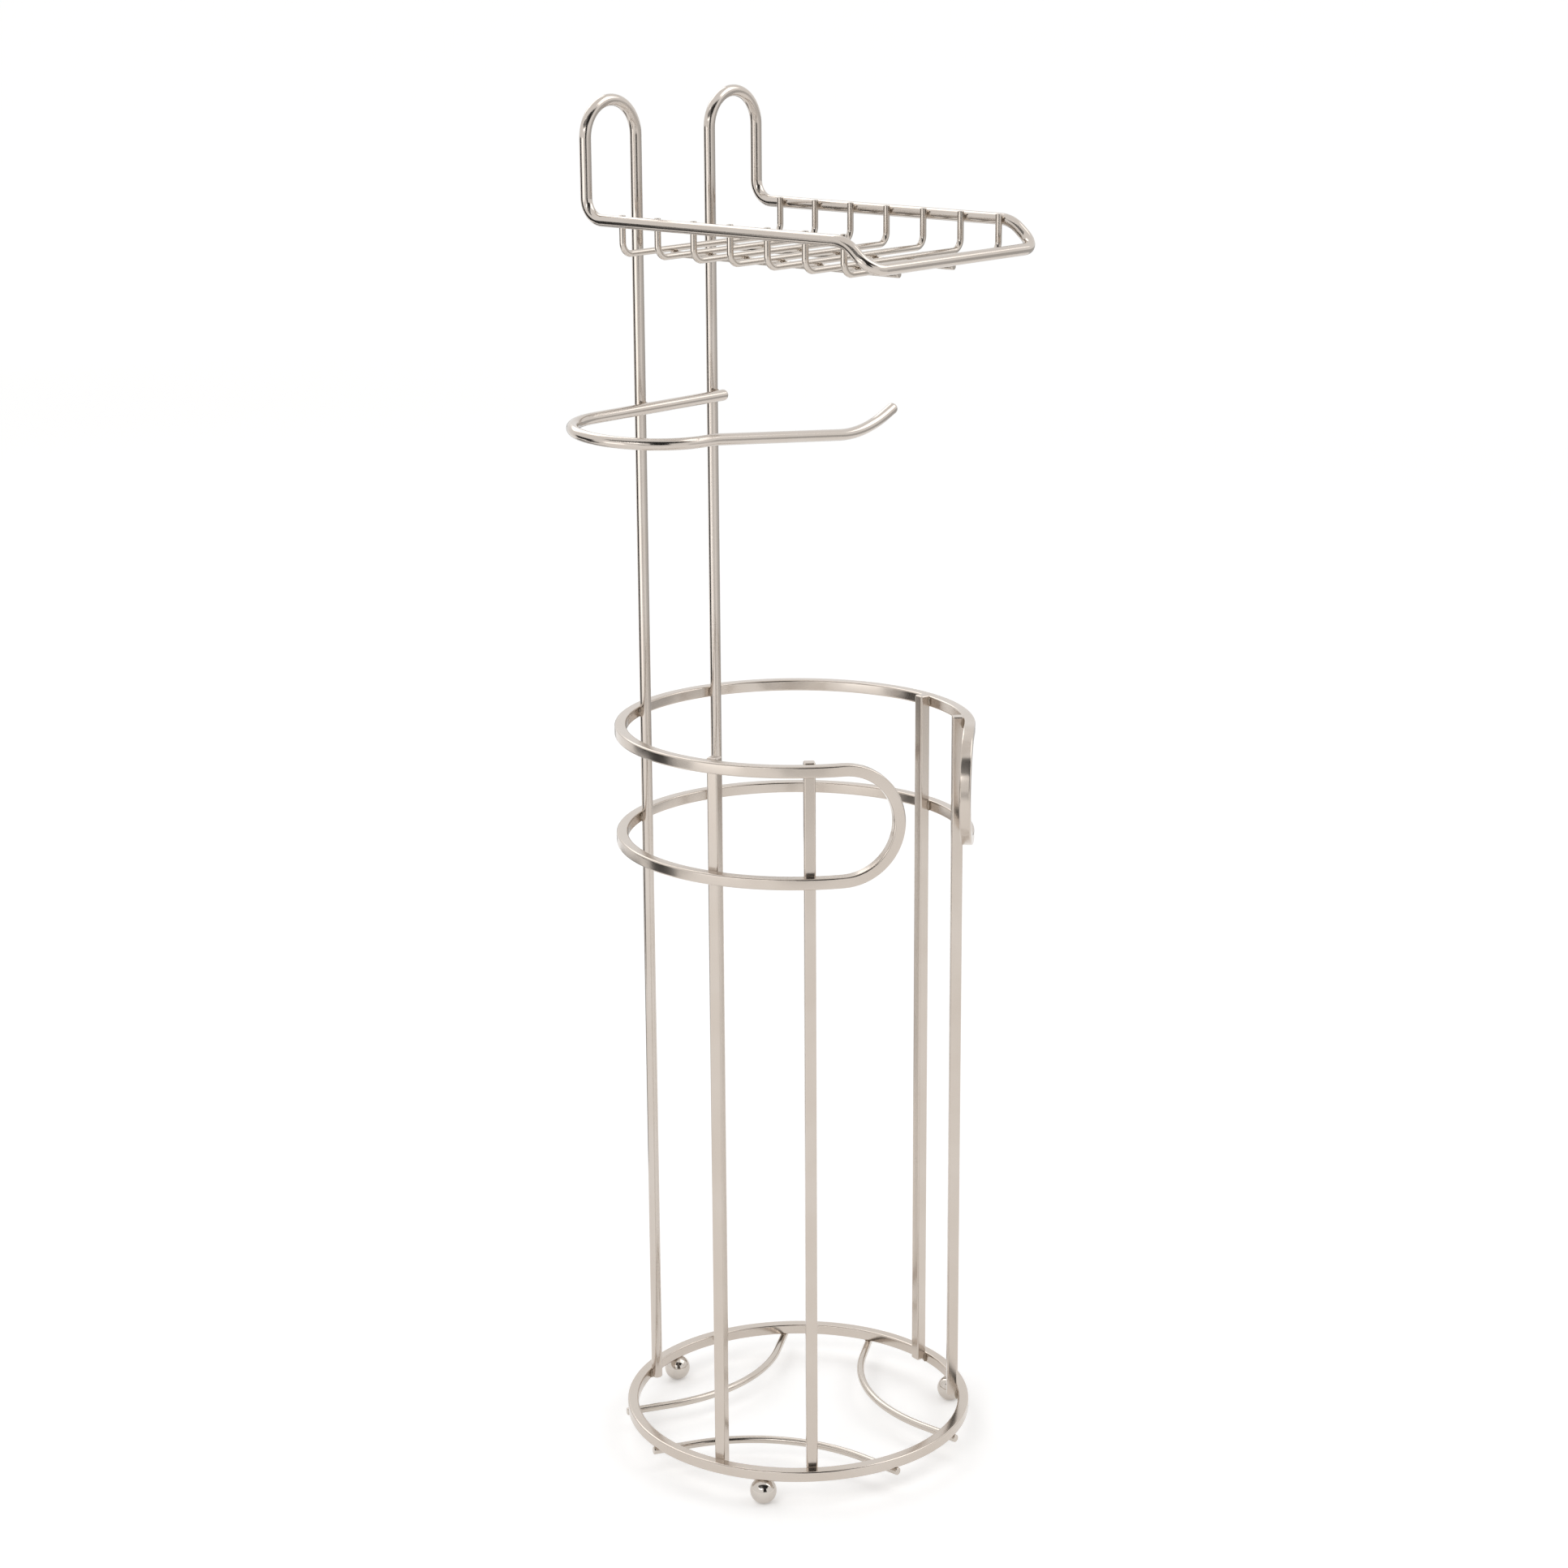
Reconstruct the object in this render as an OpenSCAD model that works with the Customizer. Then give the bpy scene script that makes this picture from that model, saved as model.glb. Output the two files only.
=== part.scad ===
// Free-standing wire holder for a bathroom. A round cage of square bar stands on three
// balls. One bent rod makes the two posts, their looped tops and the rim of a tray, and
// a hooked arm leaves the posts above the cage. Every joint is a resistance weld, where
// the pieces sink into each other by a fraction of a millimetre.
// It stands on the floor at Z = 0 and opens to -Y. The middle of its bounding box is the
// origin, and the middle of the rings lies a little to the right of it and behind it.

/* [Cage] */
// Outside diameter of the base ring and of the guard rail
ring_d = 159; // [150:0.5:180]
// Side of the square bar
bar_w = 5; // [4.5:0.5:6]
// Radius along the edges of the square bar
bar_edge = 0.8; // [0.4:0.1:1.2]
// Height of the base ring's top face
ring_top = 16.5; // [15.5:0.5:24]
// Height of the guard rail's top face
rail_top = 341; // [300:1:380]
// Height between the two turns of the guard rail
rail_gap = 49; // [40:1:60]
// Angle from the front at which each end of the guard rail leaves the circle
rail_leave = 34; // [30:1:44]
// Angle from the front of the two bars beside the opening
front_bar_turn = 44.5; // [40:0.5:52]
// Angle from the front of the two bars at the sides
side_bar_turn = 77.5; // [70:0.5:90]
// Height of each cage bar's lower end above the base ring's underside
bar_lift = 2; // [0:0.5:4]
// How far each cage bar's upper end stands above the guard rail
bar_over = 0.5; // [0:0.5:2]

/* [Floor of the cage] */
// Diameter of a floor wire
floor_wire_d = 3.5; // [3:0.5:5]
// Distance of each floor wire's straight ends from the radius beside them
floor_offset = 21; // [16:1:28]
// Bend radius of a floor wire
floor_bend_r = 78; // [60:1:84]
// How far a floor wire's ends reach past the ring's outer face
floor_tip = 0.5; // [0:0.5:2]
// Diameter of a ball foot
foot_d = 12; // [10:1:16]
// Diameter of the flat on which a foot stands
foot_flat_d = 3; // [2:0.5:4]
// Angle from the front of the two front feet
foot_turn = 61; // [50:1:66]

/* [Posts and tray rim] */
// Diameter of the round rod
rod_d = 5; // [4.5:0.5:6]
// Distance of each post from the middle
post_x = 23.5; // [18:0.5:32]
// Bend radius of the loops at the top
loop_r = 15.5; // [12:0.5:20]
// Height of the whole stand
total_h = 611.5; // [560:0.5:680]
// Height of the tray's side rails, at the middle of the rod
tray_z = 560; // [530:1:580]
// Bend radius where a loop's leg turns into a side rail
heel_r = 9; // [6:0.5:12]
// Straight length of a side rail
tray_run = 128.5; // [110:0.5:150]
// Angle by which the side rails dive at the front
dive = 40; // [25:1:50]
// Bend radius of that dive
dive_r = 15; // [10:1:20]
// Straight length between the dive and the front corner
dive_run = 3.5; // [1:0.5:8]
// Bend radius of the front corners
corner_r = 8; // [6:0.5:12]

/* [Tray wires] */
// Diameter of the tray wires
tray_wire_d = 2.8; // [2:0.2:4]
// Number of cross wires
cross_count = 7; // [7:1:7]
// Distance between cross wires
cross_pitch = 20.3; // [18:0.1:21]
// Distance of the last cross wire behind the middle of the ring
cross_back = 51; // [48:0.5:54]
// Depth of a cross wire below the side rails
cross_drop = 14; // [10:0.5:20]
// Bend radius of a cross wire
cross_bend_r = 5; // [4:0.5:8]
// Height of a cross wire's tips above the middle of the side rails
cross_tip = 2.5; // [0:0.5:2.5]
// Distance of each runner from the middle
runner_x = 18; // [10:1:30]
// How far the runners reach past the first and last cross wires
runner_over = 2; // [1.5:0.5:6]

/* [Arm] */
// Height of the arm where it crosses the posts
arm_z = 476; // [440:1:490]
// Bend radius of the arm's hook
arm_r = 33; // [28:1:38]
// Distance of the hook's middle from the middle of the stand
arm_reach = 57.5; // [50:0.5:64]
// How far the arm's fixed end reaches past the far post
arm_stub = 4; // [3:0.5:8]
// Angle by which the hook falls towards the front
arm_fall = 2.5; // [1:0.5:6]
// Angle by which the free end dips
arm_dip = 6; // [3:0.5:8]
// Angle by which the tip turns up again
arm_rise = 24; // [12:1:35]
// Bend radius of the dip and the rise
arm_dip_r = 60; // [40:5:80]
// Straight length along which the arm holds
arm_run = 80; // [70:1:110]
// Straight length of the turned-up tip
arm_tip = 8; // [4:1:14]

/* [Welds] */
// How far two pieces sink into each other at a weld
weld_sink = 0.2; // [0.1:0.05:0.3]
// How far the metal of a butt weld stands above the bar
butt_raise = 0.2; // [0.1:0.05:0.5]
// Length of a butt weld
butt_l = 3; // [2.5:0.5:5]

/* [Hidden] */

ring_sides = 144;
rod_sides = 32;
thin_sides = 20;
edge_sides = 16;
foot_sides = 64;

nickel = [0.78, 0.74, 0.70];
ring_in_r = ring_d / 2 - bar_w;
ring_mid_r = ring_d / 2 - bar_w / 2;
ring_low = ring_top - bar_w;
// Angle between the end of each turn and the middle plane, inside the butt weld
butt_gap = 0.5;
butt_w = bar_w + 2 * butt_raise;
foot_z = sqrt(pow(foot_d / 2, 2) - pow(foot_flat_d / 2, 2));
floor_wire_z = ring_low - floor_wire_d / 2 + weld_sink;
// Three floor wires share the circle, so each bends by half of a third of it
floor_turn = 60;
floor_tip_y = sqrt(pow(ring_d / 2 + floor_tip, 2) - pow(floor_offset, 2));
floor_leg = floor_tip_y - floor_offset / tan(floor_turn) - floor_bend_r * tan(floor_turn / 2);
bar_r = ring_in_r - bar_w / 2 + weld_sink;
bar_low = ring_low + bar_lift;
post_r = ring_in_r - rod_d / 2 + weld_sink;
post_y = sqrt(pow(post_r, 2) - pow(post_x, 2));
post_low = ring_low + 1;
leg_x = post_x + 2 * loop_r;
loop_z = total_h - rod_d / 2 - loop_r;
cross_leg_x = leg_x - rod_d / 2 - tray_wire_d / 2 + weld_sink;
cross_z = tray_z - cross_drop;
cross_front = cross_back - (cross_count - 1) * cross_pitch;
runner_z = cross_z - tray_wire_d + weld_sink;
arm_y = post_y - rod_d + weld_sink;
tray_front = post_y - heel_r - tray_run - dive_r * sin(dive) - (dive_run + corner_r) * cos(dive)
    - rod_d / 2;
// Where the middle of the rings lies, so that the bounding box is centred on the origin
ring_x = (arm_reach + arm_r + rod_d / 2 - ring_d / 2) / 2;
ring_y = -(ring_mid_r + foot_d / 2 + tray_front) / 2;

// Cross-sections of the two stocks: round rod, and square bar with eased edges
module round_stock(d, sides) circle(d = d, $fn = sides);

module square_stock() {
    square([bar_w, bar_w - 2 * bar_edge], center = true);
    square([bar_w - 2 * bar_edge, bar_w], center = true);
    for (x = [-1, 1], y = [-1, 1])
        translate([x, y] * (bar_w / 2 - bar_edge)) circle(r = bar_edge, $fn = edge_sides);
}

// One bend of the stock given as children: it starts upwards and turns towards +X
module bend(r, turn)
    translate([r, 0, 0]) rotate([90, 0, 180])
        rotate_extrude(angle = turn, $fn = ring_sides) translate([r, 0]) children();

// A wire as a bender makes it, of the stock given as children. Each step is
// [straight length, bend angle, bend radius, roll before the bend]. A bend other than a
// square one is drawn from both of its ends, and lap is the share drawn from each.
module bent_wire(steps, lap = 0.6, i = 0) {
    if (i < len(steps)) {
        run = steps[i][0];
        turn = steps[i][1];
        r = steps[i][2];
        square_turn = turn % 90 == 0;
        share = square_turn ? 1 : lap;
        if (run > 0) linear_extrude(height = run) children();
        translate([0, 0, run]) rotate([0, 0, steps[i][3]]) {
            if (turn > 0) bend(r, turn * share) children();
            translate([r, 0, 0]) rotate([0, turn, 0]) translate([-r, 0, 0]) {
                if (!square_turn) mirror([0, 0, 1]) bend(r, turn * share) children();
                bent_wire(steps, lap, i + 1) children();
            }
        }
    }
}

// Turns the children about the rings' axis from the front, positive towards +X
module around(turn) rotate([0, 0, turn]) children();

module place() color(nickel) translate([ring_x, ring_y, 0]) children();

module base_ring()
    translate([0, 0, ring_top - bar_w / 2])
        rotate_extrude($fn = ring_sides) translate([ring_mid_r, 0]) square_stock();

// Two straight ends with one wide bend between them
module floor_wire(turn) around(turn)
    translate([-floor_offset, -floor_tip_y, floor_wire_z]) rotate([-90, 0, 0]) rotate([0, 0, 180])
        bent_wire([[floor_leg, floor_turn, floor_bend_r, 0], [floor_leg, 0, 0, 0]])
            round_stock(floor_wire_d, thin_sides);

module foot(turn) around(turn) translate([0, -ring_mid_r, 0])
    intersection() {
        translate([0, 0, foot_z]) sphere(d = foot_d, $fn = foot_sides);
        cylinder(d = foot_d, h = foot_d, $fn = foot_sides);
    }

module cage_bar(turn) around(turn) translate([0, -bar_r, bar_low])
    linear_extrude(height = rail_top + bar_over - bar_low) square_stock();

// A closed loop in two halves: each holds a round end and half of both turns, and a
// butt weld at the back joins the turns
module guard_rail() translate([0, 0, rail_top - bar_w / 2]) {
    for (side = [0, 1]) mirror([side, 0, 0]) rotate([0, 0, rail_leave - 90]) {
        for (z = [0, -rail_gap]) translate([0, 0, z])
            rotate_extrude(angle = 180 - rail_leave - butt_gap, $fn = ring_sides)
                translate([ring_mid_r, 0]) square_stock();
        translate([ring_mid_r, 0, 0]) rotate([90, 90, 0]) bend(rail_gap / 2, 180) square_stock();
    }
    for (z = [0, -rail_gap]) translate([0, ring_mid_r, z])
        cube([butt_l, butt_w, butt_w], center = true);
}

// Post, loop, leg, side rail and front corner on one side, then the same backwards
module main_frame() translate([post_x, post_y, post_low])
    bent_wire([
        [loop_z - post_low, 180, loop_r, 0],
        [loop_z - tray_z - heel_r, 90, heel_r, -90],
        [tray_run, dive, dive_r, 180],
        [dive_run, 90, corner_r, -90],
        [2 * (leg_x - corner_r), 90, corner_r, 0],
        [dive_run, dive, dive_r, 90],
        [tray_run, 90, heel_r, 180],
        [loop_z - tray_z - heel_r, 180, loop_r, 90],
        [loop_z - post_low, 0, 0, 0]
    ], lap = 1) round_stock(rod_d, rod_sides);

module roll_arm() translate([post_x + arm_stub, arm_y, arm_z])
    rotate([0, -90, 0]) rotate([0, 0, -90 - arm_fall])
        bent_wire([
            [post_x + arm_stub + arm_reach, 180, arm_r, 0],
            [0, arm_dip, arm_dip_r, -90],
            [arm_run, arm_dip + arm_rise, arm_dip_r, 180],
            [arm_tip, 0, 0, 0]
        ]) round_stock(rod_d, rod_sides);

module tray_wire(i)
    translate([cross_leg_x, cross_back - (i - 1) * cross_pitch, tray_z + cross_tip])
        rotate([180, 0, 180]) bent_wire([
            [cross_drop + cross_tip - cross_bend_r, 90, cross_bend_r, 0],
            [2 * (cross_leg_x - cross_bend_r), 90, cross_bend_r, 0],
            [cross_drop + cross_tip - cross_bend_r, 0, 0, 0]
        ]) round_stock(tray_wire_d, thin_sides);

module tray_runner(x)
    translate([x, cross_back + runner_over, runner_z]) rotate([90, 0, 0])
        cylinder(d = tray_wire_d, h = cross_back - cross_front + 2 * runner_over, $fn = thin_sides);

place() base_ring();
place() floor_wire(0);  // floor_wire_left
place() floor_wire(120);  // floor_wire_right
place() floor_wire(240);  // floor_wire_back
place() foot(-foot_turn);  // foot_left
place() foot(foot_turn);  // foot_right
place() foot(180);  // foot_back
place() cage_bar(-side_bar_turn);  // bar_left_side
place() cage_bar(-front_bar_turn);  // bar_left_front
place() cage_bar(front_bar_turn);  // bar_right_front
place() cage_bar(side_bar_turn);  // bar_right_side
place() guard_rail();
place() main_frame();
place() roll_arm();
place() tray_wire(1);  // tray_wire_1
place() tray_wire(2);  // tray_wire_2
place() tray_wire(3);  // tray_wire_3
place() tray_wire(4);  // tray_wire_4
place() tray_wire(5);  // tray_wire_5
place() tray_wire(6);  // tray_wire_6
place() tray_wire(7);  // tray_wire_7
place() tray_runner(-runner_x);  // tray_runner_left
place() tray_runner(runner_x);  // tray_runner_right
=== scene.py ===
import math
import random

import bpy
from mathutils import Matrix, Vector


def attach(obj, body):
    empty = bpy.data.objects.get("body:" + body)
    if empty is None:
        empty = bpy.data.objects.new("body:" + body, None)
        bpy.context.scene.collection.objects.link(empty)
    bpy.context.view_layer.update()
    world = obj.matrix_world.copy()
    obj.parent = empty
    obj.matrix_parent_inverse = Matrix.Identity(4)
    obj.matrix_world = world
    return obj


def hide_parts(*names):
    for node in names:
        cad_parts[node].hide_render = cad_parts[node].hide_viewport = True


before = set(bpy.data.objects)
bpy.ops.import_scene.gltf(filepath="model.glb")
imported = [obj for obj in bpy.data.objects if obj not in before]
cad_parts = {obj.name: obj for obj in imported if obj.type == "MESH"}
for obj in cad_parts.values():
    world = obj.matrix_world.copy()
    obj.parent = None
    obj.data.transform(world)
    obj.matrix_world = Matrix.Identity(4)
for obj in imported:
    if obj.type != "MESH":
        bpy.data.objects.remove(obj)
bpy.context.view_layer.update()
random.seed(11)

mm = 0.001
ringAxis = Vector((6.75, 3.59, 0))  # the middle of the rings; lengths are in mm until a piece is made
toLeft, toRight = Vector((-1, 0, 0)), Vector((1, 0, 0))
toFront, toBack = Vector((0, -1, 0)), Vector((0, 1, 0))
up, down = Vector((0, 0, 1)), Vector((0, 0, -1))
print("frame loaded:", len(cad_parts), "solids")


# Places on the rings: turn is in degrees from the front, positive to the right
def outward(turn):
    return Vector((math.sin(math.radians(turn)), -math.cos(math.radians(turn)), 0))


def sideways(turn):
    return Vector((math.cos(math.radians(turn)), math.sin(math.radians(turn)), 0))


def deselectAll():
    bpy.ops.object.select_all(action="DESELECT")


def settle():
    # puts the active piece's place into its mesh
    bpy.ops.object.transform_apply(location=True, rotation=True, scale=True)


# Stock, in mm: round rod of three sizes and one square bar with eased edges
stock = {
    "rod": {"radius": 2.5, "sides": 32, "endRound": 0.5},
    "floorWire": {"radius": 1.75, "sides": 24, "endRound": 0.35},
    "trayWire": {"radius": 1.4, "sides": 20, "endRound": 0.3},
    "squareBar": {"width": 5, "ease": 0.8, "easeSteps": 4, "endRound": 0.3},
}
# Degrees between rings of points in a bend, and the bend radius in mm from which a bend counts as wide
bendSteps = {"tight": 5, "wide": 2, "wideFrom": 50}
# A bar whose end comes this near its start is a closed loop, and points this near are merged, mm
joining = {"closedWithin": 0.1, "mergeWithin": 0.02}
smoothAngle = math.radians(35)


def addSection(size, place, along, inward):
    turn = Matrix((inward, along.cross(inward), along)).transposed().to_euler()
    if "width" in size:
        bpy.ops.mesh.primitive_plane_add(size=size["width"] * mm, location=place * mm, rotation=turn)
        settle()
        bpy.ops.object.mode_set(mode="EDIT")
        bpy.ops.mesh.select_all(action="SELECT")
        bpy.ops.mesh.bevel(offset=size["ease"] * mm, segments=size["easeSteps"], affect="VERTICES")
        bpy.ops.mesh.select_all(action="SELECT")
        bpy.ops.mesh.delete(type="ONLY_FACE")
    else:
        bpy.ops.mesh.primitive_circle_add(vertices=size["sides"], radius=size["radius"] * mm,
                                          location=place * mm, rotation=turn)
        settle()
        bpy.ops.object.mode_set(mode="EDIT")
    bpy.ops.mesh.select_all(action="SELECT")


def roundEnds(offset, segments):
    # closes both open ends with a face and rounds its rim
    bpy.ops.mesh.select_all(action="DESELECT")
    bpy.ops.mesh.select_mode(type="EDGE")
    bpy.ops.mesh.select_non_manifold()
    bpy.ops.mesh.fill_holes(sides=0)
    bpy.ops.mesh.select_all(action="DESELECT")
    bpy.ops.mesh.select_mode(type="FACE")
    bpy.ops.mesh.select_face_by_sides(number=4, type="GREATER")
    bpy.ops.mesh.bevel(offset=offset * mm, segments=segments, affect="EDGES")
    bpy.ops.mesh.select_mode(type="VERT")


def bendWire(name, size, place, along, inward, steps, endRound=None, endSteps=3):
    # each step is (straight length, bend angle, bend radius, roll before the bend)
    deselectAll()
    at, along, inward = place.copy(), along.copy(), inward.copy()
    addSection(size, at, along, inward)
    piece = bpy.context.object
    for length, turn, radius, roll in steps:
        if length:
            bpy.ops.mesh.extrude_region_move(TRANSFORM_OT_translate={"value": along * length * mm})
            at += along * length
        inward.rotate(Matrix.Rotation(math.radians(roll), 3, along))
        if turn:
            centre = at + inward * radius
            axis = along.cross(inward)
            between = bendSteps["wide"] if radius > bendSteps["wideFrom"] else bendSteps["tight"]
            bpy.ops.mesh.spin(steps=math.ceil(turn / between), angle=math.radians(-turn),
                              center=centre * mm, axis=axis)
            swing = Matrix.Rotation(math.radians(turn), 3, axis)
            at = centre + swing @ (at - centre)
            along, inward = swing @ along, swing @ inward
    if (at - place).length < joining["closedWithin"]:
        bpy.ops.mesh.select_all(action="SELECT")
        bpy.ops.mesh.remove_doubles(threshold=joining["mergeWithin"] * mm)
    else:
        roundEnds(endRound or size["endRound"], endSteps)
    bpy.ops.mesh.select_all(action="SELECT")
    bpy.ops.mesh.normals_make_consistent(inside=False)
    bpy.ops.object.mode_set(mode="OBJECT")
    bpy.ops.object.shade_smooth_by_angle(angle=smoothAngle)
    # the flat and the long faces keep their own normals, so the rounded ends don't bend what they mirror
    bpy.ops.object.modifier_add(type="WEIGHTED_NORMAL")
    piece.modifiers[-1].keep_sharp = True
    bpy.ops.object.modifier_apply(modifier=piece.modifiers[-1].name)
    piece.name = name
    return piece


def copyPiece(piece, name, turn=0, shift=Vector((0, 0, 0))):
    # a copy with its own mesh, turned about the rings' axis and then shifted
    deselectAll()
    made = piece.copy()
    made.data = piece.data.copy()
    bpy.context.collection.objects.link(made)
    made.select_set(True)
    bpy.context.view_layer.objects.active = made
    made.matrix_world = (Matrix.Translation((ringAxis + shift) * mm)
                         @ Matrix.Rotation(math.radians(turn), 4, "Z") @ Matrix.Translation(-ringAxis * mm))
    settle()
    made.name = name
    return made


def finish(piece, material, slotName, *nodes):
    piece.data.materials.clear()
    piece.data.materials.append(material)
    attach(piece, "root")
    if nodes:
        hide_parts(*nodes)
    return piece


# Shared effects: hazy plating with faint smudges, and the fine grain of a satin finish
haze = {"detail": 4, "contrast": (0.35, 0.68), "speckScale": 420, "speckShare": 0.1}
satin = {"detail": 3, "height": 0.0002}  # height in metres


def newGroup(name, inputs, outputs):
    group = bpy.data.node_groups.new(name, "ShaderNodeTree")
    for socketName, kind, value in inputs:
        made = group.interface.new_socket(name=socketName, in_out="INPUT", socket_type=kind)
        made.default_value = value
    for socketName, kind in outputs:
        group.interface.new_socket(name=socketName, in_out="OUTPUT", socket_type=kind)
    return group, group.nodes.new("NodeGroupInput"), group.nodes.new("NodeGroupOutput")


def platingGroup():
    group, given, made = newGroup(
        "hazyPlating",
        [("Clean", "NodeSocketColor", (0.6, 0.6, 0.6, 1)), ("Hazy", "NodeSocketColor", (0.5, 0.5, 0.5, 1)),
         ("Patch Scale", "NodeSocketFloat", 30), ("Smooth", "NodeSocketFloat", 0.25),
         ("Dull", "NodeSocketFloat", 0.35)],
        [("Color", "NodeSocketColor"), ("Roughness", "NodeSocketFloat")])
    nodes, link = group.nodes, group.links.new
    where = nodes.new("ShaderNodeTexCoord")
    patches = nodes.new("ShaderNodeTexNoise")
    patches.inputs["Detail"].default_value = haze["detail"]
    specks = nodes.new("ShaderNodeTexNoise")
    specks.inputs["Scale"].default_value = haze["speckScale"]
    contrast = nodes.new("ShaderNodeMapRange")
    contrast.inputs["From Min"].default_value, contrast.inputs["From Max"].default_value = haze["contrast"]
    both = nodes.new("ShaderNodeMath")
    both.operation = "MULTIPLY_ADD"
    both.inputs[1].default_value = haze["speckShare"]
    tint = nodes.new("ShaderNodeMix")
    tint.data_type = "RGBA"
    dullness = nodes.new("ShaderNodeMapRange")
    link(where.outputs["Object"], patches.inputs["Vector"])
    link(where.outputs["Object"], specks.inputs["Vector"])
    link(given.outputs["Patch Scale"], patches.inputs["Scale"])
    link(patches.outputs["Fac"], contrast.inputs["Value"])
    link(specks.outputs["Fac"], both.inputs[0])
    link(contrast.outputs["Result"], both.inputs[2])
    link(both.outputs[0], tint.inputs["Factor"])
    link(given.outputs["Clean"], tint.inputs[6])
    link(given.outputs["Hazy"], tint.inputs[7])
    link(both.outputs[0], dullness.inputs["Value"])
    link(given.outputs["Smooth"], dullness.inputs["To Min"])
    link(given.outputs["Dull"], dullness.inputs["To Max"])
    link(tint.outputs[2], made.inputs["Color"])
    link(dullness.outputs["Result"], made.inputs["Roughness"])
    return group


def grainGroup():
    group, given, made = newGroup(
        "satinGrain",
        [("Grain Scale", "NodeSocketFloat", 900), ("Depth", "NodeSocketFloat", 0.1)],
        [("Normal", "NodeSocketVector")])
    nodes, link = group.nodes, group.links.new
    where = nodes.new("ShaderNodeTexCoord")
    grain = nodes.new("ShaderNodeTexNoise")
    grain.inputs["Detail"].default_value = satin["detail"]
    bump = nodes.new("ShaderNodeBump")
    bump.inputs["Distance"].default_value = satin["height"]
    link(where.outputs["Object"], grain.inputs["Vector"])
    link(given.outputs["Grain Scale"], grain.inputs["Scale"])
    link(given.outputs["Depth"], bump.inputs["Strength"])
    link(grain.outputs["Fac"], bump.inputs["Height"])
    link(bump.outputs["Normal"], made.inputs["Normal"])
    return group


hazyPlating, satinGrain = platingGroup(), grainGroup()


def platedMetal(name, look):
    material = bpy.data.materials.new(name)
    material.use_nodes = True
    nodes, link = material.node_tree.nodes, material.node_tree.links.new
    shader = nodes["Principled BSDF"]
    shader.inputs["Metallic"].default_value = 1
    plating = nodes.new("ShaderNodeGroup")
    plating.node_tree = hazyPlating
    plating.inputs["Clean"].default_value = (*look["clean"], 1)
    plating.inputs["Hazy"].default_value = (*look["hazy"], 1)
    plating.inputs["Patch Scale"].default_value = look["patches"]
    plating.inputs["Smooth"].default_value = look["smooth"]
    plating.inputs["Dull"].default_value = look["dull"]
    grain = nodes.new("ShaderNodeGroup")
    grain.node_tree = satinGrain
    grain.inputs["Grain Scale"].default_value = look["grain"]
    grain.inputs["Depth"].default_value = look["depth"]
    link(plating.outputs["Color"], shader.inputs["Base Color"])
    link(plating.outputs["Roughness"], shader.inputs["Roughness"])
    link(grain.outputs["Normal"], shader.inputs["Normal"])
    return material


finishes = {
    "rodNickel": {"clean": (0.605, 0.55, 0.50), "hazy": (0.58, 0.52, 0.465), "patches": 38,
                  "smooth": 0.13, "dull": 0.17, "grain": 1100, "depth": 0.012},
    "barNickel": {"clean": (0.605, 0.545, 0.49), "hazy": (0.575, 0.51, 0.45), "patches": 30,
                  "smooth": 0.16, "dull": 0.21, "grain": 1000, "depth": 0.015},
    "wireNickel": {"clean": (0.60, 0.545, 0.49), "hazy": (0.56, 0.505, 0.45), "patches": 55,
                   "smooth": 0.14, "dull": 0.2, "grain": 1300, "depth": 0.012},
    "ballNickel": {"clean": (0.62, 0.575, 0.53), "hazy": (0.58, 0.53, 0.48), "patches": 70,
                   "smooth": 0.08, "dull": 0.12, "grain": 1400, "depth": 0.008},
    "weldNickel": {"clean": (0.42, 0.36, 0.30), "hazy": (0.22, 0.17, 0.125), "patches": 160,
                   "smooth": 0.26, "dull": 0.48, "grain": 800, "depth": 0.2},
}
metal = {name: platedMetal(name, look) for name, look in finishes.items()}
print("finishes made:", ", ".join(metal))


# The rings, mm
cage = {
    "middleR": 77, "baseZ": 14, "railZ": 338.5, "railGap": 49, "leave": 34,
    "barR": 72.2, "barLow": 13.5, "barHigh": 341.5, "barEndRound": 0.7,
    "bars": {"bar_left_side": -77.5, "bar_left_front": -44.5,
             "bar_right_front": 44.5, "bar_right_side": 77.5},
}
baseRing = bendWire("baseRing", stock["squareBar"], ringAxis + Vector((0, -cage["middleR"], cage["baseZ"])),
                    toRight, toBack, [(0, 360, cage["middleR"], 0)])
finish(baseRing, metal["barNickel"], "square_bar", "base_ring")

turn = 360 - 2 * cage["leave"]
guardRail = bendWire(
    "guardRail", stock["squareBar"],
    ringAxis + outward(cage["leave"]) * cage["middleR"] + up * cage["railZ"],
    sideways(cage["leave"]), -outward(cage["leave"]),
    [(0, turn, cage["middleR"], 0), (0, 180, cage["railGap"] / 2, -90),
     (0, turn, cage["middleR"], 90), (0, 180, cage["railGap"] / 2, -90)])
finish(guardRail, metal["barNickel"], "square_bar", "guard_rail")

firstTurn = cage["bars"]["bar_left_side"]
firstBar = bendWire(
    "BarLeftSide", stock["squareBar"],
    ringAxis + outward(firstTurn) * cage["barR"] + up * cage["barLow"], up, sideways(firstTurn),
    [(cage["barHigh"] - cage["barLow"], 0, 0, 0)], cage["barEndRound"])
for node, turn in cage["bars"].items():
    bar = firstBar
    if turn != firstTurn:
        bar = copyPiece(firstBar, node.title().replace("_", ""), turn - firstTurn)
    finish(bar, metal["barNickel"], "square_bar", node)
print("cage made")


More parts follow.
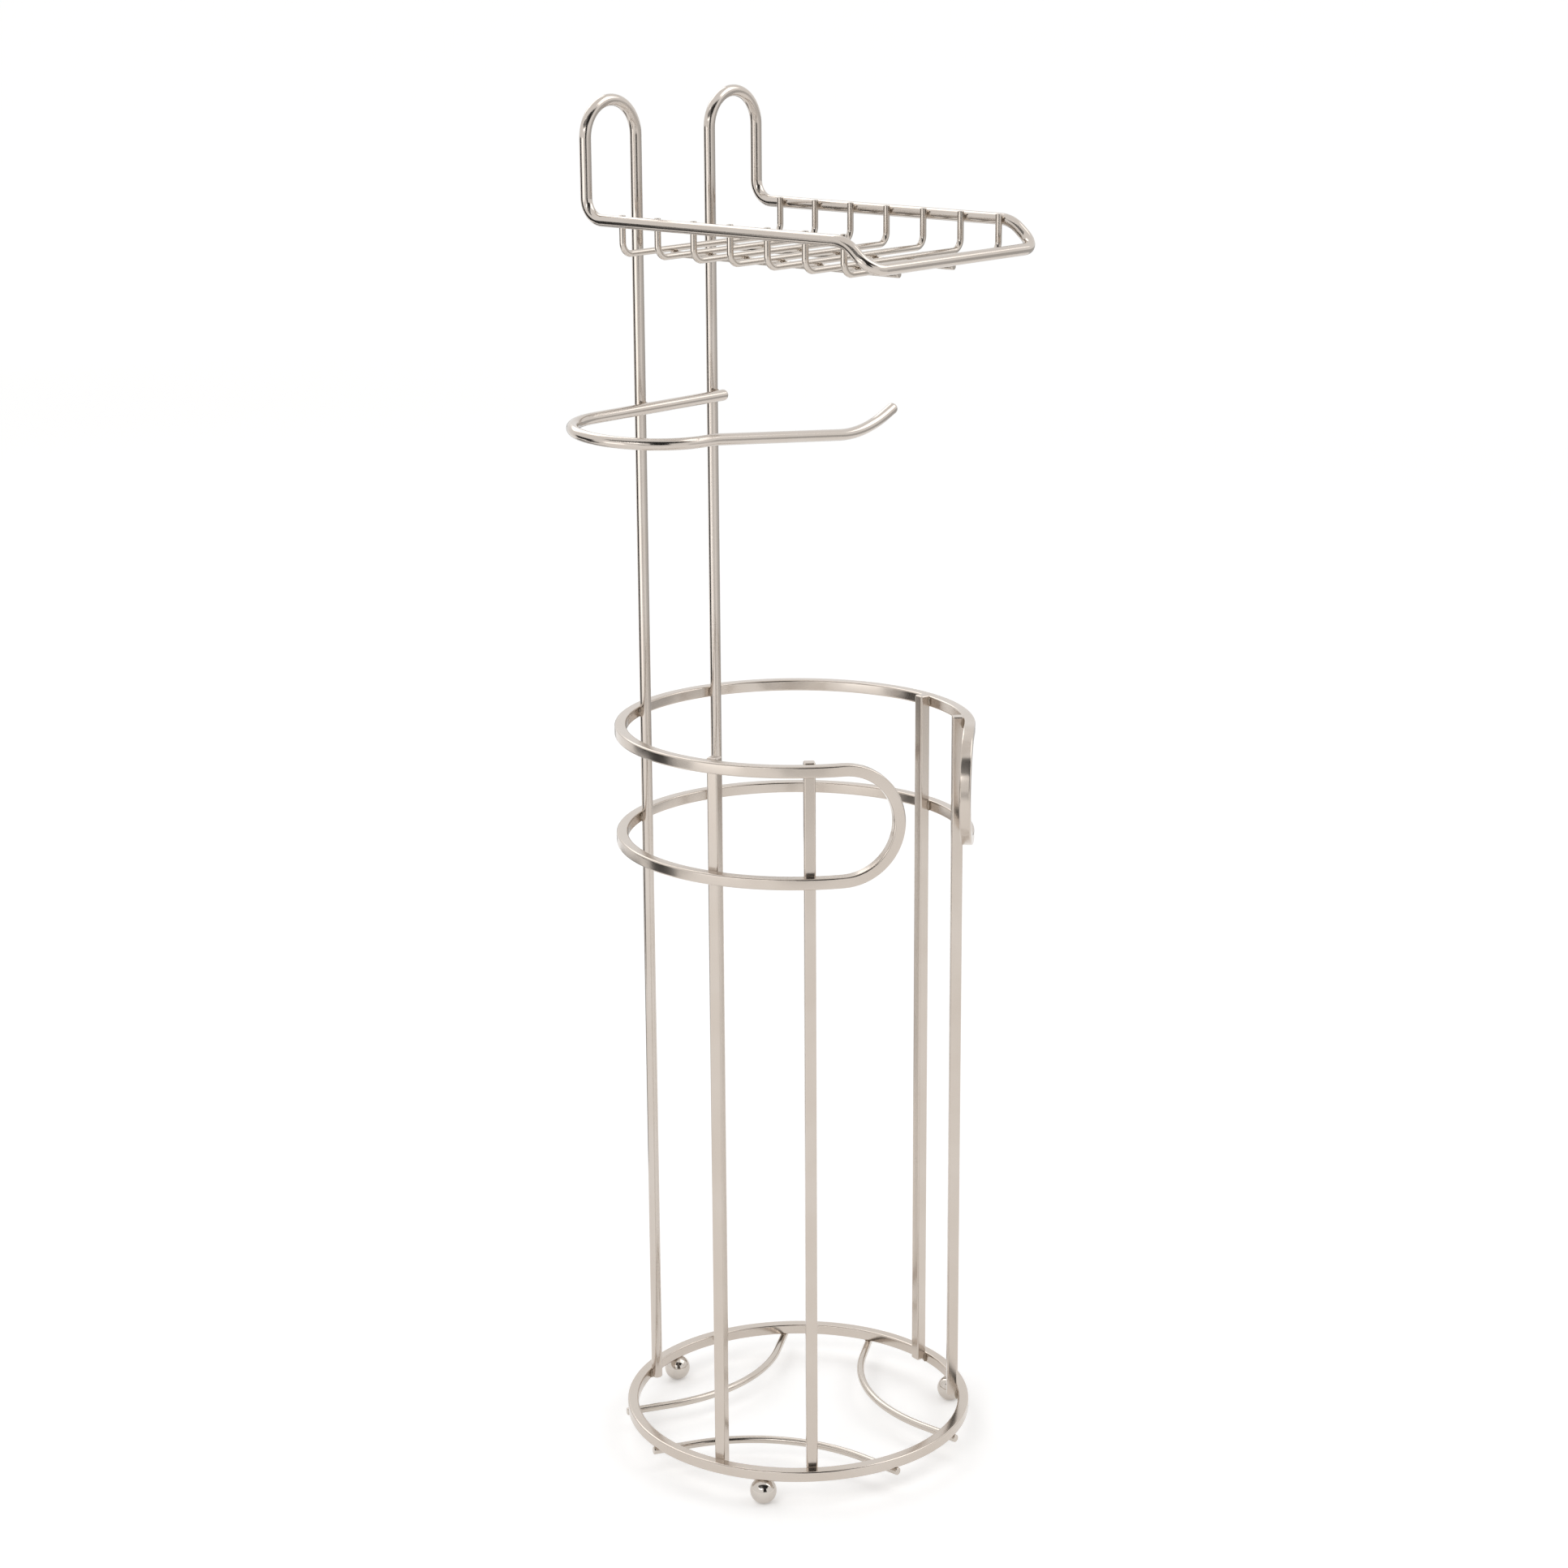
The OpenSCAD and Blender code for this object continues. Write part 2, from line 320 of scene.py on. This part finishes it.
# The floor wires and the ball feet, mm
floor = {"offset": 21, "tip": 77.2, "z": 9.95, "straight": 20.04, "turn": 60, "bendR": 78,
         "wires": {"floor_wire_left": 0, "floor_wire_right": 120, "floor_wire_back": 240}}
firstWire = bendWire("FloorWireLeft", stock["floorWire"],
                     ringAxis + Vector((-floor["offset"], -floor["tip"], floor["z"])), toBack, toLeft,
                     [(floor["straight"], floor["turn"], floor["bendR"], 0), (floor["straight"], 0, 0, 0)])
for node, turn in floor["wires"].items():
    wire = copyPiece(firstWire, node.title().replace("_", ""), turn) if turn else firstWire
    finish(wire, metal["wireNickel"], "thin_wire", node)

ball = {"radius": 6, "flat": 1.5, "around": 64, "upward": 40,
        "feet": {"foot_left": -61, "foot_right": 61, "foot_back": 180}}
deselectAll()
middle = math.sqrt(ball["radius"] ** 2 - ball["flat"] ** 2)
bpy.ops.mesh.primitive_uv_sphere_add(segments=ball["around"], ring_count=ball["upward"],
                                     radius=ball["radius"] * mm,
                                     location=(ringAxis + toBack * cage["middleR"] + up * middle) * mm)
firstFoot = bpy.context.object
settle()
bpy.ops.object.mode_set(mode="EDIT")
bpy.ops.mesh.select_all(action="SELECT")
bpy.ops.mesh.bisect(plane_co=(0, 0, 0), plane_no=(0, 0, 1), use_fill=True, clear_inner=True)
bpy.ops.mesh.select_all(action="SELECT")
bpy.ops.mesh.normals_make_consistent(inside=False)
bpy.ops.object.mode_set(mode="OBJECT")
bpy.ops.object.shade_smooth_by_angle(angle=smoothAngle)
firstFoot.name = "FootBack"
for node, turn in ball["feet"].items():
    foot = firstFoot if turn == 180 else copyPiece(firstFoot, node.title().replace("_", ""), turn - 180)
    finish(foot, metal["ballNickel"], "foot_ball", node)
print("floor and feet made")


# The bent rod of posts, loops, side rails and front bar, mm
rod = {"postX": 23.5, "postY": 68.27, "postLow": 12.5, "loopZ": 593.5, "loopR": 15.5, "railZ": 560,
       "heelR": 9, "rail": 128.5, "dive": 40, "diveR": 15, "slope": 3.5, "cornerR": 8, "legX": 54.5}
post = rod["loopZ"] - rod["postLow"]
leg = rod["loopZ"] - rod["railZ"] - rod["heelR"]
mainFrame = bendWire(
    "mainFrame", stock["rod"], ringAxis + Vector((rod["postX"], rod["postY"], rod["postLow"])), up, toRight,
    [(post, 180, rod["loopR"], 0), (leg, 90, rod["heelR"], -90),
     (rod["rail"], rod["dive"], rod["diveR"], 180), (rod["slope"], 90, rod["cornerR"], -90),
     (2 * (rod["legX"] - rod["cornerR"]), 90, rod["cornerR"], 0),
     (rod["slope"], rod["dive"], rod["diveR"], 90), (rod["rail"], 90, rod["heelR"], 180),
     (leg, 180, rod["loopR"], 90), (post, 0, 0, 0)])
finish(mainFrame, metal["rodNickel"], "round_rod", "main_frame")

arm = {"x": 27.5, "y": 63.47, "z": 476, "back": 85, "hookR": 33, "fall": 2.5, "dip": 6, "rise": 24,
       "bendR": 60, "straight": 80, "tip": 8, "tipRound": 2.3, "tipSteps": 8}
sag = Matrix.Rotation(math.radians(arm["fall"]), 3, "X") @ toFront
rollArm = bendWire(
    "rollArm", stock["rod"], ringAxis + Vector((arm["x"], arm["y"], arm["z"])), toLeft, sag,
    [(arm["back"], 180, arm["hookR"], 0), (0, arm["dip"], arm["bendR"], -90),
     (arm["straight"], arm["dip"] + arm["rise"], arm["bendR"], 180), (arm["tip"], 0, 0, 0)],
    arm["tipRound"], arm["tipSteps"])
finish(rollArm, metal["rodNickel"], "round_rod", "roll_arm")
print("bent rods made")


# The tray's cross wires and runners, mm
tray = {"count": 7, "pitch": 20.3, "backY": 51, "legX": 50.8, "tipZ": 562.5, "leg": 11.5, "bendR": 5,
        "runnerX": 18, "runnerZ": 543.4, "over": 2}
firstCross = bendWire(
    "TrayWire1", stock["trayWire"],
    ringAxis + Vector((tray["legX"], tray["backY"], tray["tipZ"])), down, toLeft,
    [(tray["leg"], 90, tray["bendR"], 0), (2 * (tray["legX"] - tray["bendR"]), 90, tray["bendR"], 0),
     (tray["leg"], 0, 0, 0)])
for i in range(tray["count"]):
    wire = copyPiece(firstCross, f"TrayWire{i + 1}", shift=toFront * i * tray["pitch"]) if i else firstCross
    finish(wire, metal["wireNickel"], "thin_wire", f"tray_wire_{i + 1}")
leftRunner = bendWire(
    "TrayRunnerLeft", stock["trayWire"],
    ringAxis + Vector((-tray["runnerX"], tray["backY"] + tray["over"], tray["runnerZ"])), toFront, toRight,
    [((tray["count"] - 1) * tray["pitch"] + 2 * tray["over"], 0, 0, 0)])
rightRunner = copyPiece(leftRunner, "TrayRunnerRight", shift=toRight * 2 * tray["runnerX"])
finish(leftRunner, metal["wireNickel"], "thin_wire", "tray_runner_left")
finish(rightRunner, metal["wireNickel"], "thin_wire", "tray_runner_right")
print("tray made")


# Weld beads: one is modelled, the rest are copies with a mesh of their own, mm
bead = {
    "sizes": {"bar": (0.85, 2.0), "post": (0.95, 1.9), "floor": (0.6, 1.6), "rail": (0.55, 1.3),
              "runner": (0.42, 0.9)},  # radius and half length
    "unevenness": 0.09, "seed": 4, "spin": (0, 6.28), "swell": (0.85, 1.15),
    "ringR": 74.5, "barSink": 0.25, "barBeside": 2.45, "postSink": 0.3, "postBeside": 1.5,
    "floorBeside": 1.15, "floorZ": 11.35, "armBeside": 1.7,
    "railX": 51.6, "railBeside": 0.95, "runnerZ": 544.7, "runnerBeside": 0.8,
}
deselectAll()
bpy.ops.mesh.primitive_ico_sphere_add(subdivisions=3, radius=mm)
firstBead = bpy.context.object
bpy.ops.object.mode_set(mode="EDIT")
bpy.ops.mesh.select_all(action="SELECT")
bpy.ops.transform.vertex_random(offset=bead["unevenness"] * mm, seed=bead["seed"])
bpy.ops.object.mode_set(mode="OBJECT")
beads = []


def weld(at, seam, kind):
    # a bead at this place, drawn out along the seam
    radius, length = bead["sizes"][kind]
    copy = firstBead.copy()
    copy.data = firstBead.data.copy()
    bpy.context.collection.objects.link(copy)
    spin = Matrix.Rotation(random.uniform(*bead["spin"]), 4, "Z")
    swell = random.uniform(*bead["swell"])
    copy.matrix_world = (Matrix.Translation((ringAxis + at) * mm)
                         @ (seam.to_track_quat("Z", "Y").to_matrix().to_4x4() @ spin)
                         @ Matrix.Diagonal((radius * swell, radius * swell, length * swell, 1)))
    beads.append(copy)


for height in (cage["baseZ"], cage["railZ"] - cage["railGap"], cage["railZ"]):
    for turn in cage["bars"].values():
        for side in (-1, 1):
            weld(outward(turn) * (bead["ringR"] - bead["barSink"])
                 + sideways(turn) * side * bead["barBeside"] + up * height, up, "bar")
    for x in (-rod["postX"], rod["postX"]):
        turn = 180 - math.degrees(math.atan2(x, rod["postY"]))
        for side in (-1, 1):
            weld(outward(turn) * (bead["ringR"] - bead["postSink"])
                 + sideways(turn) * side * bead["postBeside"] + up * height, up, "post")
for turn in floor["wires"].values():
    for offset in (-floor["offset"], floor["offset"]):
        reach = math.sqrt(cage["middleR"] ** 2 - offset ** 2)
        for side in (-1, 1):
            weld(outward(turn) * reach + sideways(turn) * (offset + side * bead["floorBeside"])
                 + up * bead["floorZ"], outward(turn), "floor")
for x in (-rod["postX"], rod["postX"]):
    for side in (-1, 1):
        weld(Vector((x, (rod["postY"] + arm["y"]) / 2, arm["z"] + side * bead["armBeside"])), toRight, "post")
for i in range(tray["count"]):
    y = tray["backY"] - i * tray["pitch"]
    for side in (-1, 1):
        for beside in (-1, 1):
            weld(Vector((side * bead["railX"], y + beside * bead["railBeside"], rod["railZ"])), up, "rail")
            weld(Vector((side * tray["runnerX"] + beside * bead["runnerBeside"], y, bead["runnerZ"])),
                 toFront, "runner")
deselectAll()
for copy in beads:
    copy.select_set(True)
bpy.context.view_layer.objects.active = beads[0]
bpy.ops.object.join()
settle()
weldBeads = bpy.context.object
bpy.ops.object.shade_smooth()
weldBeads.name = "weldBeads"
bpy.data.objects.remove(firstBead)
finish(weldBeads, metal["weldNickel"], "square_bar")
print("welds made:", len(beads))


# Studio: a white floor, a white surround and soft lamps
def seenWhite(tree):
    # 1 for the camera, for reflections and through glass, else 0
    rays = tree.nodes.new("ShaderNodeLightPath")
    seen = tree.nodes.new("ShaderNodeMath")
    seen.operation = "MAXIMUM"
    alsoGlass = tree.nodes.new("ShaderNodeMath")
    alsoGlass.operation = "MAXIMUM"
    tree.links.new(rays.outputs["Is Camera Ray"], seen.inputs[0])
    tree.links.new(rays.outputs["Is Glossy Ray"], seen.inputs[1])
    tree.links.new(seen.outputs[0], alsoGlass.inputs[0])
    tree.links.new(rays.outputs["Is Transmission Ray"], alsoGlass.inputs[1])
    return alsoGlass.outputs[0]


studio = {"floorSize": 80, "floorTone": (0.93, 0.925, 0.92), "floorRoughness": 0.9, "room": 0.62,
          "glow": (0.22, 0.43), "lampsReach": (0.5, 4.5), "lampsAim": 0.3}
deselectAll()
bpy.ops.mesh.primitive_plane_add(size=studio["floorSize"], location=(0, 0, 0))
floorPlane = bpy.context.object
floorPlane.name = "floorPlane"
paleFloor = bpy.data.materials.new("paleFloor")
paleFloor.use_nodes = True
floorShader = paleFloor.node_tree.nodes["Principled BSDF"]
floorShader.inputs["Base Color"].default_value = (*studio["floorTone"], 1)
floorShader.inputs["Roughness"].default_value = studio["floorRoughness"]
floorShader.inputs["Specular IOR Level"].default_value = 0
floorShader.inputs["Emission Color"].default_value = (1, 1, 1, 1)
# the glow grows with the distance, where the lamps no longer reach
floorNodes, link = paleFloor.node_tree.nodes, paleFloor.node_tree.links.new
where = floorNodes.new("ShaderNodeTexCoord")
reach = floorNodes.new("ShaderNodeVectorMath")
reach.operation = "LENGTH"
fade = floorNodes.new("ShaderNodeMapRange")
fade.interpolation_type = "SMOOTHSTEP"
fade.inputs["From Min"].default_value, fade.inputs["From Max"].default_value = studio["lampsReach"]
fade.inputs["To Min"].default_value, fade.inputs["To Max"].default_value = studio["glow"]
glow = floorNodes.new("ShaderNodeMath")
glow.operation = "MULTIPLY"
link(where.outputs["Object"], reach.inputs[0])
link(reach.outputs["Value"], fade.inputs["Value"])
link(fade.outputs["Result"], glow.inputs[1])
link(seenWhite(paleFloor.node_tree), glow.inputs[0])
link(glow.outputs[0], floorShader.inputs["Emission Strength"])
paleFloor.cycles.emission_sampling = "NONE"
floorPlane.data.materials.append(paleFloor)

world = bpy.data.worlds.new("whiteRoom")
bpy.context.scene.world = world
world.use_nodes = True
room = world.node_tree.nodes["Background"]
room.inputs["Color"].default_value = (1, 1, 1, 1)
level = world.node_tree.nodes.new("ShaderNodeMapRange")
level.inputs["To Min"].default_value = studio["room"]
level.inputs["To Max"].default_value = 1
world.node_tree.links.new(seenWhite(world.node_tree), level.inputs["Value"])
world.node_tree.links.new(level.outputs["Result"], room.inputs["Strength"])

lamps = {
    "keyLamp": {"place": (-1.9, -0.4, 1.8), "size": 1.3, "power": 14},
    "fillLamp": {"place": (1.2, -1.2, 2.2), "size": 1.6, "power": 10},
    "backLamp": {"place": (0.6, 1.7, 1.9), "size": 1.5, "power": 9},
}
for name, lamp in lamps.items():
    deselectAll()
    place = Vector(lamp["place"])
    aim = (place - up * studio["lampsAim"]).to_track_quat("Z", "Y").to_euler()
    bpy.ops.object.light_add(type="AREA", location=place, rotation=aim)
    bpy.context.object.name = name
    bpy.context.object.data.size = lamp["size"]
    bpy.context.object.data.energy = lamp["power"]


def onlyMirrored(piece, glow):
    # evenly bright from every side, and seen by nothing but reflections
    paper = bpy.data.materials.new(piece.name)
    paper.use_nodes = True
    shader = paper.node_tree.nodes["Principled BSDF"]
    shader.inputs["Base Color"].default_value = (0, 0, 0, 1)
    shader.inputs["Specular IOR Level"].default_value = 0
    shader.inputs["Emission Color"].default_value = (1, 1, 1, 1)
    shader.inputs["Emission Strength"].default_value = glow
    paper.cycles.emission_sampling = "NONE"  # found by reflections alone, so the streaks come out calm
    piece.data.materials.append(paper)
    piece.visible_camera = False
    piece.visible_diffuse = False
    piece.visible_shadow = False


# Cards that lie round the stand and that only the metal mirrors, as streaks: middle and half width in
# degrees from the front, nearest and furthest edge in metres, and how bright each card looks
cards = {
    "darkBehind": {"turn": 180, "half": 16, "near": 0.36, "far": 0.95, "glow": 0.3},
    "darkNear": {"turn": -140, "half": 12, "near": 0.7, "far": 1.3, "glow": 0.04},
    "darkLeft": {"turn": -150, "half": 19, "near": 1.2, "far": 38, "glow": 0.02},
    "greyLeft": {"turn": -125, "half": 9, "near": 1.1, "far": 1.5, "glow": 0.6},
    "brightLeft": {"turn": -98, "half": 15, "near": 1.45, "far": 38, "glow": 2.0},
    "greyFront": {"turn": -58, "half": 6, "near": 1.6, "far": 38, "glow": 0.6},
    "greyMiddle": {"turn": -43, "half": 14, "near": 1.1, "far": 1.7, "glow": 0.72},
    "greyRight": {"turn": 26, "half": 20, "near": 1.1, "far": 38, "glow": 0.74},
    "greySide": {"turn": 82, "half": 36, "near": 0.9, "far": 38, "glow": 0.56},
    "darkBack": {"turn": 137, "half": 13, "near": 0.9, "far": 38, "glow": 0.3},
}
cardLift = 0.002
for count, (name, card) in enumerate(cards.items(), start=1):
    deselectAll()
    bpy.ops.mesh.primitive_plane_add(size=1)
    piece = bpy.context.object
    piece.name = name
    away, across = outward(card["turn"]), sideways(card["turn"]) * math.tan(math.radians(card["half"]))
    for corner in piece.data.vertices:
        reach = card["far"] if corner.co.x > 0 else card["near"]
        side = 1 if corner.co.y > 0 else -1
        corner.co = ringAxis * mm + away * reach + across * reach * side + up * cardLift * count
    onlyMirrored(piece, card["glow"])


# Dark cloths that only the metal mirrors: one overhead for the patches in the balls, one upright for the
# streaks in the loops; sizes in metres, and tilt is 0 for lying flat and 90 for upright
cloths = {
    "overheadCloth": {"turn": -49, "distance": 1.0, "height": 1.25, "tilt": 0,
                      "width": 2.4, "length": 1.1, "glow": 0.03},
    "frontCloth": {"turn": -35, "distance": 2.2, "height": 1.03, "tilt": 90,
                   "width": 1.1, "length": 1.5, "glow": 0.02},
}
for name, cloth in cloths.items():
    deselectAll()
    bpy.ops.mesh.primitive_plane_add(
        size=1, location=outward(cloth["turn"]) * cloth["distance"] + up * cloth["height"],
        rotation=(math.radians(cloth["tilt"]), 0, math.radians(cloth["turn"])))
    piece = bpy.context.object
    piece.name = name
    piece.scale = (cloth["width"], cloth["length"], 1)
    onlyMirrored(piece, cloth["glow"])
print("studio made")


# The camera stands where the photograph was taken from, roll and lens included
# (place in metres, angles in degrees, focal length and image size in pixels, sensor in mm)
shot = {"place": (-1.0529, -0.9103, 0.6999), "azimuth": -49.02, "down": 15.50, "roll": -0.33,
        "focal": 4034.3, "imageSize": 1932, "sensor": 36, "clip": (0.01, 200)}
deselectAll()
bpy.ops.object.camera_add(location=shot["place"])
camera = bpy.context.object
azimuth, lift = math.radians(shot["azimuth"]), math.radians(shot["down"])
backwards = Vector((math.sin(azimuth) * math.cos(lift), -math.cos(azimuth) * math.cos(lift), math.sin(lift)))
camera.rotation_mode = "QUATERNION"
camera.rotation_quaternion = ((-backwards).to_track_quat("-Z", "Y")
                              @ Matrix.Rotation(math.radians(shot["roll"]), 3, "Z").to_quaternion())
camera.data.sensor_width = shot["sensor"]
camera.data.lens = shot["focal"] / shot["imageSize"] * shot["sensor"]
camera.data.clip_start, camera.data.clip_end = shot["clip"]
bpy.context.scene.camera = camera
bpy.context.scene.view_settings.view_transform = "Standard"

print("camera set; all pieces made")
